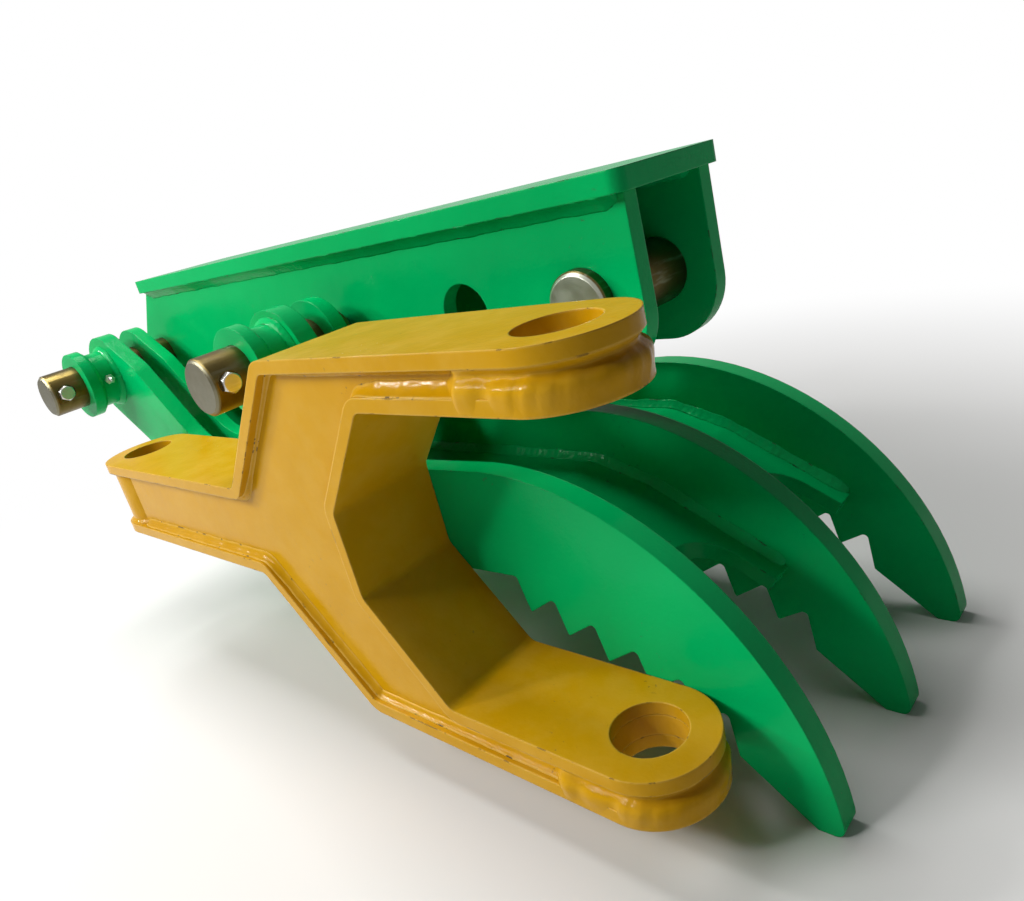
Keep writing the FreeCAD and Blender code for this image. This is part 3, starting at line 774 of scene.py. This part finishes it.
@dataclass(frozen=True)
class ThumbFrame:
    """The toothed tines with their palm, root and lug plates and outboard bearings."""

    enamel: bpy.types.Material
    pivot: tuple = (-382.0, -100.0)
    link: tuple = (35.0, -89.0)
    boss: float = 33.05
    tine_outer: float = 131.7
    tine_inner: float = 113.7
    ring_face: float = 158.0
    centre_half: float = 9.0
    lug_faces: tuple = (79.5, 93.5)
    palm: Outline = Outline(((-140.0, -224.0, 0.0), (265.0, -224.0, 26.0),
                             (318.0, -242.0, 26.0), (418.0, -298.0, 0.0)))
    root: tuple = ((-288.0, -170.5, 0.0), (-217.0, -224.0, 26.0))
    root_end: tuple = (-142.0, -224.0, 0.0)
    lug_end: tuple = (112.0, -224.0, 0.0)
    names: tuple = ("tine_centre", "root_plate", *sided(
        "tine", "palm_plate", "lug_plate", "pivot_ring", "pivot_boss", "link_ring", "link_boss"))

    def dress(self, nodes: dict) -> None:
        """Paint the thumb's plates and lay its welds.

        Args:
            nodes: The frame's objects by node name.
        """
        paint(nodes, self.names, self.enamel)
        self.palm_seams().piece("palm_welds", "thumb", Slot.GREEN, self.enamel)
        self.root_seams().piece("root_welds", "thumb", Slot.GREEN, self.enamel)
        self.bearing_seams().piece("bearing_welds", "thumb", Slot.GREEN, self.enamel)

    def palm_seams(self) -> Shell:
        """Lay the fillets between the tops of the palm plates and the three tines.

        Returns:
            The fillets' shell.
        """
        shell = Shell()
        bead = Bead(leg=6.8, crown=-0.04, pitch=7.0, wander=0.14)
        points, run = self.palm.sample()
        seed = 0.3
        for face, out in ((-self.centre_half, RIGHT), (self.centre_half, LEFT),
                          (-self.tine_inner, LEFT), (self.tine_inner, RIGHT)):
            bead.lay(shell, flat_path(points, face), out, left_of(run), seed)
            seed += 1.37
        return shell

    def root_seams(self) -> Shell:
        """Lay the fillets of the root plate and of the lug plates that stand on it.

        Returns:
            The fillets' shell.
        """
        shell = Shell()
        bead = Bead(leg=7.0, crown=0.05, pitch=6.0)
        points, run = Outline((*self.root, self.root_end)).sample()
        for face, out in ((-self.tine_inner, LEFT), (self.tine_inner, RIGHT)):
            bead.lay(shell, flat_path(points, face), out, left_of(run), 0.9 + face)
        points, run = Outline((*self.root, self.lug_end)).sample()
        for side in (-1.0, 1.0):
            for face, out in zip(self.lug_faces, (RIGHT, LEFT)):
                path = flat_path(points, side * face)
                bead.lay(shell, path, side * out, left_of(run), 2.0 + face)
        return shell

    def bearing_seams(self) -> Shell:
        """Lay the ring fillets at both ends of the outboard tubes.

        Returns:
            The fillets' shell.
        """
        shell = Shell()
        bead = Bead(leg=5.5, crown=0.12, pitch=5.0)
        tube_ends = ((self.tine_outer, LEFT, 0.2), (self.ring_face, RIGHT, 1.2))
        for x, z in (self.pivot, self.link):
            for side in (-1.0, 1.0):
                for face, away, seed in tube_ends:
                    ring, out = arc_about((x, side * face, z), self.boss, UP)
                    bead.lay(shell, ring, out, side * away, seed + x, closed=True)
        return shell


@dataclass(frozen=True)
class EarWeld:
    """How an ear's weld stands out, in millimetres, and the lengths over which that changes.

    The bulge and the hollow are bells across the weld, whose middles and widths are shares of it.
    The hollow is at a share of its depth, shallow, at the path's ends, and full past the ease. Each
    wave of lumps has a height, a rate along the path, a slant across it and a seed, and the
    roughening at a distance from the ends makes them higher. The weld has come up out of the arm's
    recess past the dive, sooner at its lower edge. The cover is the least weld over the boss. The
    upper edge laps into its plate, and the lower edge has a lip past its own.
    """

    bulge: float = 1.3
    bulge_at: float = 0.55
    bulge_over: float = 0.24
    set_back: float = 0.1
    hollow: float = 4.6
    hollow_at: float = 0.20
    hollow_over: float = 0.13
    shallow: float = 0.35
    ease: float = 42.0
    lumps: tuple = ((0.65, 1.1, 0.0, 1.0), (0.5, 2.1, 14.0, 2.0), (0.18, 5.6, 37.0, 5.0))
    roughening: float = 1.1
    rough_at: float = 36.0
    rough_over: float = 24.0
    dive: float = 17.0
    dive_start: float = 1.0
    dive_slant: float = 5.0
    cover: float = 0.3
    lap: float = 0.4
    lip: float = 0.05
    shift: float = 0.9
    buried: float = 2.0
    ground: float = 0.1
    across: int = 25
    straight_points: int = 24
    round_points: int = 120


@dataclass(frozen=True)
class Yoke:
    """The boxed fork: fillets in the recesses of its webs and heavy beads in the ears' grooves."""

    enamel: bpy.types.Material
    centre_y: float = -177.1
    centre_z: float = -211.4
    depth: float = 90.0
    recess: float = 9.0
    plate: float = 10.0
    half: float = 148.0
    inner_half: float = 112.0
    neck_half: float = 40.0
    fork_x: float = 402.0
    neck_x: float = -225.0
    boss: float = 40.0
    ear_radius: float = 45.0
    lump_x: float = 348.0
    web_reach: float = 22.0
    bends_x: tuple = (54.0, 160.0)
    bend_radii: tuple = (20.0, 10.0)
    half_bend: float = 22.77
    shoulder_x: float = 261.0
    throat_x: float = 189.5
    throat_half: float = 38.0
    liner_bend: float = 20.0
    neck_tube: float = 39.5
    neck_arc: tuple = (30.0, 300.0)
    weld: EarWeld = EarWeld()
    names: tuple = ("yoke_upper_flange", "yoke_lower_flange", "yoke_liner", "yoke_front_web",
                    "yoke_back_web", "yoke_upper_boss", "yoke_lower_boss", "yoke_neck_boss")

    def dress(self, nodes: dict) -> None:
        """Paint the yoke's plates and lay its welds.

        Args:
            nodes: The frame's objects by node name.
        """
        paint(nodes, self.names, self.enamel)
        self.web_seams().piece("yoke_web_welds", "yoke", Slot.YELLOW, self.enamel)
        self.ear_seams().piece("yoke_ear_welds", "yoke", Slot.YELLOW, self.enamel)
        self.neck_seams().piece("yoke_neck_welds", "yoke", Slot.YELLOW, self.enamel)

    def flange_line(self, sign: float) -> Outline:
        """Trace a flange's inner face from the neck to the ear.

        Args:
            sign: 1 for the upper flange, -1 for the lower.

        Returns:
            The outline.
        """
        low = self.centre_z + sign * (self.neck_half - self.plate)
        high = self.centre_z + sign * (self.half - self.plate)
        bend = self.plate * math.tan(math.radians(self.half_bend))
        return Outline(((self.neck_x + self.web_reach, low, 0.0),
                        (self.bends_x[0] + bend, low, self.bend_radii[0]),
                        (self.bends_x[1] + bend, high, self.bend_radii[1]),
                        (self.fork_x - self.web_reach, high, 0.0)))

    def liner_line(self) -> Outline:
        """Trace the liner's face towards the webs, from ear to ear round the throat.

        Returns:
            The outline.
        """
        z, bend = self.centre_z, self.liner_bend
        top = self.inner_half + self.plate
        end = self.fork_x - self.web_reach
        return Outline(((end, z + top, 0.0), (self.shoulder_x, z + top, bend),
                        (self.throat_x, z + self.throat_half, bend),
                        (self.throat_x, z - self.throat_half, bend),
                        (self.shoulder_x, z - top, bend), (end, z - top, 0.0)))

    def web_seams(self) -> Shell:
        """Lay fillets round both webs, along the flanges and the liner.

        The leg is a share of the bead's own that changes along X, thin beside the slopes.

        Returns:
            The fillets' shell.
        """
        shell = Shell()
        bead = Bead(leg=9.0, crown=-0.17, pitch=17.0, ripple=0.048, wander=0.05)
        for side in (-1.0, 1.0):
            y = self.centre_y + side * (self.depth / 2.0 - self.recess)
            for sign, slope in ((1.0, 0.35), (-1.0, 0.7)):
                points, run = self.flange_line(sign).sample()
                weight = along_x(points, ((-200.0, 0.8), (40.0, 0.8), (80.0, slope),
                                          (150.0, slope), (210.0, 0.62), (380.0, 0.7)))
                bead.lay(shell, flat_path(points, y), -sign * left_of(run), side * LEFT,
                         0.7 + sign + side, weight=weight)
            points, run = self.liner_line().sample()
            weight = along_x(points, ((190.0, 0.30), (250.0, 0.45), (285.0, 1.0), (380.0, 1.0)))
            bead.lay(shell, flat_path(points, y), -left_of(run), side * LEFT, 3.1 + side,
                     weight=weight)
        return shell

    def ear_seams(self) -> Shell:
        """Lay one heavy, lumpy weld in the groove of each ear, over the rim of its lower plate.

        The path runs straight along the arm's edge, round the ear and back. Across it v runs from
        0 at the upper plate to 1 at the lower plate's far edge. The skin stands out from the ear's
        rim by the bell of the bulge less the bell of the hollow, which fades where the path is
        straight, and it sinks into the arm's recess at both ends. Unrelated sines add lumps, which
        are strongest near the ends.

        Returns:
            The two welds' shell.
        """
        shell = Shell()
        weld = self.weld
        spot, out = self.ear_path()
        run = stations(spot)[:, None]
        v = np.linspace(0.0, 1.0, weld.across)[None, :]
        bow = np.sin(math.pi * v)
        away = np.minimum(run, run[-1] - run)
        rise = smooth((away - weld.dive_start + weld.dive_slant * v) / weld.dive)
        sink = self.recess * (1.0 - rise)
        depth = weld.shallow + (1.0 - weld.shallow) * smooth(away / weld.ease)
        hollow = depth * bell(v, weld.hollow_at, weld.hollow_over)
        bulge = weld.bulge * bell(v, weld.bulge_at, weld.bulge_over) - weld.set_back
        rough = 1.0 + weld.roughening * bell(away, weld.rough_at, weld.rough_over)
        floor = self.boss - self.ear_radius + weld.cover
        upper = (1.0, self.half - self.plate + weld.lap, self.inner_half - weld.lip)
        lower = (-1.0, self.inner_half + self.plate - weld.lap, self.half + weld.lip)
        for sign, start, end in (upper, lower):
            lumps = rough * sum(high * sway(run * rate + slant * v, seed * sign)
                                for high, rate, slant, seed in weld.lumps)
            stand = np.maximum(bulge + lumps * bow - weld.hollow * hollow, floor) - sink
            shift = weld.shift * sway(run * 1.3, 4.0 + sign) * bow
            height = self.centre_z + sign * (start + (end - start) * v + shift)
            skin = self.stand_off(spot, out, stand, height)
            inner = np.tile(stand.min(axis=1, keepdims=True) - weld.buried, (1, 2))
            root = self.stand_off(spot, out, inner, height[:, [-3, 0]])
            shell.ring_surface(np.concatenate([skin, root], axis=1))
        return shell

    def ear_path(self) -> tuple[Array, Array]:
        """Trace the rim of an ear, seen from above.

        Returns:
            The points and their outward directions, both as XY pairs.
        """
        straight = np.linspace(0.0, 1.0, self.weld.straight_points)[:-1, None]
        turn = np.linspace(-math.pi / 2.0, math.pi / 2.0, self.weld.round_points)[:, None]
        arc = np.concatenate([np.cos(turn), np.sin(turn)], axis=1)
        start = np.array([[self.lump_x, self.centre_y - self.ear_radius]])
        front = start + straight * np.array([[self.fork_x - self.lump_x, 0.0]])
        middle = np.array([[self.fork_x, self.centre_y]]) + self.ear_radius * arc
        mirror = np.array([[0.0, 2.0 * self.centre_y]])
        back = (front * np.array([[1.0, -1.0]]) + mirror)[::-1]
        ahead = np.tile([[0.0, -1.0]], (len(front), 1))
        out = np.concatenate([ahead, arc, -ahead])
        return np.concatenate([front, middle, back]), out

    def stand_off(self, spot: Array, out: Array, stand: Array, height: Array) -> Array:
        """Stand points off a path; they are ground flat on the side against the thumb.

        Args:
            spot: The path's XY points.
            out: Its outward directions.
            stand: How far each point stands off.
            height: Each point's Z.

        Returns:
            The points.
        """
        plan = spot[:, None] + stand[:, :, None] * out[:, None]
        flat = self.centre_y + self.ear_radius - self.weld.ground
        plan[:, :, 1] = np.minimum(plan[:, :, 1], flat)
        return np.concatenate([plan, height[:, :, None]], axis=2)

    def neck_seams(self) -> Shell:
        """Lay the fillets between the neck's tube and its two flanges.

        Returns:
            The fillets' shell.
        """
        shell = Shell()
        bead = Bead(leg=4.7, crown=0.10, pitch=5.5, wander=0.06)
        for sign in (1.0, -1.0):
            z = self.centre_z + sign * (self.neck_half - self.plate)
            centre = (self.neck_x, self.centre_y, z)
            ring, out = arc_about(centre, self.neck_tube, LEFT, *self.neck_arc)
            bead.lay(shell, ring, out, -sign * UP, 4.0 + sign)
        return shell


@dataclass(frozen=True)
class CrossBolt:
    """A cross-bolt with a chamfered head, a threaded shank end and a nut, along X.

    The profile pairs a share of a head's or nut's length with a radius, as a share of the flats'
    half: it cuts the hexagon to a chamfer near the crowned face.
    """

    flats: float = 16.0
    head: float = 6.5
    nut: float = 8.0
    shank: float = 5.0
    seat: float = 23.0
    proud: float = 4.0
    overlap: float = 0.5
    pitch: float = 1.75
    thread: float = 0.42
    taper: float = 1.2
    tip: float = 0.78
    facets: int = 72
    shank_facets: int = 28
    shank_rings: int = 90
    profile: tuple = ((0.0, 1.5), (0.02, 1.5), (0.62, 1.16), (0.70, 1.12), (0.78, 1.08),
                      (0.86, 1.04), (0.94, 0.985), (1.0, 0.92), (1.0, 0.02))

    def hexagon(self, shell: Shell, origin: tuple, seat: float, crown: float) -> None:
        """Add a hexagon along X with a turned chamfer.

        The radius at angle t is the flats' half over cos of t folded into plus or minus 30 degrees;
        near the crowned face it is cut to a circle that shrinks with the slope of the chamfer.

        Args:
            shell: The shell that takes the surface.
            origin: The bolt's middle.
            seat: The X of the plain face, from the middle.
            crown: The X of the crowned face.
        """
        turn = np.linspace(0.0, 2.0 * math.pi, self.facets, endpoint=False)[None, :]
        fold = (turn + math.pi / 6.0) % (math.pi / 3.0) - math.pi / 6.0
        share, cap = np.array(self.profile).T[:, :, None]
        radius = np.minimum(self.flats / 2.0 / np.cos(fold), cap * self.flats / 2.0)
        shell.ring_surface(barrel(origin, seat + (crown - seat) * share, radius, turn))

    def threaded(self, shell: Shell, origin: tuple, low: float, high: float) -> None:
        """Add the shank; its radius follows a cosine of the angle less X over the pitch.

        Over the taper at both ends the radius comes down to the tip's share.

        Args:
            shell: The shell that takes the surface.
            origin: The bolt's middle.
            low: Where the shank starts along X from the middle.
            high: Where it ends.
        """
        turn = np.linspace(0.0, 2.0 * math.pi, self.shank_facets, endpoint=False)[None, :]
        x = np.linspace(low, high, self.shank_rings)[:, None]
        groove = self.thread * np.cos(turn - 2.0 * math.pi * x / self.pitch) - self.thread
        ends = np.clip(np.minimum(x - low, high - x) / self.taper, 0.0, 1.0)
        radius = (self.shank + groove) * (self.tip + (1.0 - self.tip) * ends)
        shell.ring_surface(barrel(origin, x, radius, turn))

    def build(self, shell: Shell, origin: tuple) -> None:
        """Add the head on the tips' side, the nut behind and the shank through both.

        Args:
            shell: The shell that takes the bolt.
            origin: The bolt's middle.
        """
        seat, tail = self.seat, -self.seat - self.nut
        self.hexagon(shell, origin, seat, seat + self.head)
        self.hexagon(shell, origin, -seat, tail)
        self.threaded(shell, origin, tail - self.proud, seat + self.overlap)


def barrel(origin: tuple, x: Array, radius: Array, turn: Array) -> Array:
    """Return rings of points about an X axis through the origin.

    Args:
        origin: The axis's middle.
        x: Each ring's X from the middle, as a column.
        radius: The radius at each place.
        turn: The angles round a ring, as a row.

    Returns:
        The points, rings by places by three.
    """
    across = origin[1] + radius * np.cos(turn)
    up = origin[2] + radius * np.sin(turn)
    return np.stack(np.broadcast_arrays(origin[0] + x, across, up), axis=-1)


@dataclass(frozen=True)
class Pin:
    """One pin: its body, its axis and ends, its detailed bolt's node and the bolts' Y."""

    name: str
    body: str
    x: float
    z: float
    ends: tuple
    bolt_node: str
    bolt_y: tuple
    bright: tuple = (0.20, 0.19, 0.13)

    def plating(self) -> bpy.types.Material:
        """Return the pin's olive plating, whose turning lines run round its own axis."""
        ends = tuple(end * MM for end in self.ends)
        return PlatedSteel(self.name + "_plating", (0.150, 0.110, 0.030), (0.075, 0.055, 0.020),
                           self.bright, self.x * MM, self.z * MM, ends).make()


@dataclass(frozen=True)
class Pins:
    """The plated pins, their cross-bolts and the grease nipples."""

    pins: tuple = (
        Pin("pivot_pin", "thumb", -382.0, -100.0, (-208.0, 208.0), "pivot_pin_bolts",
            (-193.0, 193.0)),
        Pin("link_pin_right", "link_pin_right", 35.0, -89.0, (-208.0, -61.0),
            "link_pin_bolt_right", (-193.0,)),
        Pin("link_pin_left", "link_pin_left", 35.0, -89.0, (61.0, 208.0),
            "link_pin_bolt_left", (193.0,)),
        Pin("base_pin", "base_pin", 323.0, -83.0, (-65.0, 84.0), "base_pin_bolt", (69.0,),
            bright=(0.62, 0.65, 0.54)),
    )
    nipples: tuple = ("pivot_grease_nipples", "link_grease_nipples")
    bolt: CrossBolt = CrossBolt()

    def dress(self, nodes: dict) -> None:
        """Give each pin its own turned finish and put detailed bolts in place of the plain ones.

        Args:
            nodes: The frame's objects by node name.
        """
        for pin in self.pins:
            paint(nodes, (pin.name,), pin.plating())
        zinc = PlatedSteel("bright_zinc", (0.66, 0.66, 0.64), (0.45, 0.44, 0.40),
                           (0.86, 0.86, 0.85), gloss=0.24).make()
        paint(nodes, self.nipples, zinc)
        for pin in self.pins:
            shell = Shell()
            for y in pin.bolt_y:
                self.bolt.build(shell, (pin.x, y, pin.z))
            name = pin.bolt_node + "_turned"
            piece = shell.piece(name, pin.body, Slot.BOLT, zinc, smooth=False)
            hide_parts(pin.bolt_node)


def paint(nodes: dict, names: tuple, material: bpy.types.Material) -> None:
    """Give every material slot of the named pieces one material.

    Args:
        nodes: The frame's objects by node name.
        names: The nodes that are painted.
        material: Their material.
    """
    for name in names:
        piece = nodes[name]
        if not piece.material_slots:
            piece.data.materials.append(material)
        for place in piece.material_slots:
            place.material = material


@dataclass(frozen=True)
class PhotoCamera:
    """The camera at the photograph's viewing angle: metres, pixels and the sensor's width in mm."""

    position: tuple = (0.6697, -0.4796, 0.0118)
    right: tuple = (0.7196, 0.6518, -0.2396)
    up: tuple = (-0.0547, 0.3973, 0.9161)
    forward: tuple = (-0.6923, 0.646, -0.3215)
    focal_pixels: float = 789.8
    width_pixels: float = 1024.0
    sensor: float = 36.0
    clip: tuple = (0.01, 50.0)

    def place(self) -> None:
        """Make the camera and set it as the scene's."""
        data = bpy.data.cameras.new("photo_camera")
        data.sensor_width = self.sensor
        data.lens = self.focal_pixels * self.sensor / self.width_pixels
        data.clip_start, data.clip_end = self.clip
        camera = bpy.data.objects.new("photo_camera", data)
        turn = Matrix((self.right, self.up, tuple(-c for c in self.forward))).transposed()
        camera.matrix_world = Matrix.Translation(self.position) @ turn.to_4x4()
        bpy.context.scene.collection.objects.link(camera)
        bpy.context.scene.camera = camera


@dataclass(frozen=True)
class Studio:
    """A plain floor and soft lamps: each lamp's name, place, aim, side and power."""

    floor_z: float = -0.408
    reach: float = 12.0
    ambient: float = 0.055
    lamps: tuple = (
        ("window", (-1.3, -2.0, 1.7), (0.0, -0.1, -0.2), 1.2, 50.0),
        ("overhead", (-0.8, 0.0, 2.2), (0.0, 0.0, -0.2), 1.2, 54.0),
        ("side_window", (-2.0, -1.45, 1.15), (0.2, -0.2, -0.15), 0.21, 24.0),
        ("glint", (-0.4, -1.8, 1.1), (0.1, -0.1, -0.2), 0.22, 12.0),
    )

    def build(self) -> None:
        """Make the floor, the lamps and the world."""
        mesh = bpy.data.meshes.new("studio_floor")
        signs = ((-1, -1), (1, -1), (1, 1), (-1, 1))
        points = [(x * self.reach, y * self.reach, self.floor_z) for x, y in signs]
        mesh.from_pydata(points, [], [(0, 1, 2, 3)])
        mesh.materials.append(StudioFloor().make())
        floor = bpy.data.objects.new("studio_floor", mesh)
        bpy.context.scene.collection.objects.link(floor)
        for name, place, aim, size, power in self.lamps:
            self.lamp(name, place, aim, size, power)
        self.world()

    def lamp(self, name: str, place: tuple, aim: tuple, size: float, power: float) -> None:
        """Hang one square soft lamp.

        Args:
            name: The lamp's name.
            place: Where it hangs, in metres.
            aim: The point that it faces.
            size: Its side, in metres.
            power: Its power, in watts.
        """
        data = bpy.data.lights.new(name, "AREA")
        data.shape = "SQUARE"
        data.size = size
        data.energy = power
        lamp = bpy.data.objects.new(name, data)
        lamp.location = place
        lamp.rotation_mode = "QUATERNION"
        lamp.rotation_quaternion = (Vector(aim) - Vector(place)).to_track_quat("-Z", "Y")
        bpy.context.scene.collection.objects.link(lamp)

    def world(self) -> None:
        """Light the world softly; it is white to the camera and dimmer in reflections."""
        graph = Graph(bpy.data.worlds.new("studio"))
        soft = graph.add("ShaderNodeBackground", None, {"Color": WHITE, "Strength": self.ambient})
        bright = graph.add("ShaderNodeBackground", None, {"Color": WHITE, "Strength": 1.0})
        inputs = {0: graph.background_seen(), 1: soft.outputs[0], 2: bright.outputs[0]}
        mix = graph.add("ShaderNodeMixShader", None, inputs)
        graph.add("ShaderNodeOutputWorld", None, {"Surface": mix.outputs[0]})
        bpy.context.scene.world = graph.owner


def corners(box: tuple) -> list:
    """Return a box's two corners as plain lists."""
    return [[float(c) for c in corner] for corner in box]


def main() -> None:
    """Build the scene."""
    logging.basicConfig(level=logging.INFO, format="%(name)s %(message)s")
    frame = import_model()
    PhotoCamera().place()
    # Each pale colour is also the painted highlight along the plates' edges
    green = Enamel("green_enamel", colour=(0.0, 0.450, 0.122), deep=(0.0, 0.335, 0.088),
                   pale=(0.01, 0.47, 0.13)).make()
    yellow = Enamel("ochre_enamel", colour=(0.570, 0.300, 0.003), deep=(0.485, 0.243, 0.002),
                    pale=(0.86, 0.60, 0.16)).make()
    Channel(green).dress(frame["nodes"])
    ThumbFrame(green).dress(frame["nodes"])
    Yoke(yellow).dress(frame["nodes"])
    Pins().dress(frame["nodes"])
    Studio().build()
    bpy.context.scene.view_settings.view_transform = "Standard"


if __name__ == "__main__":
    main()
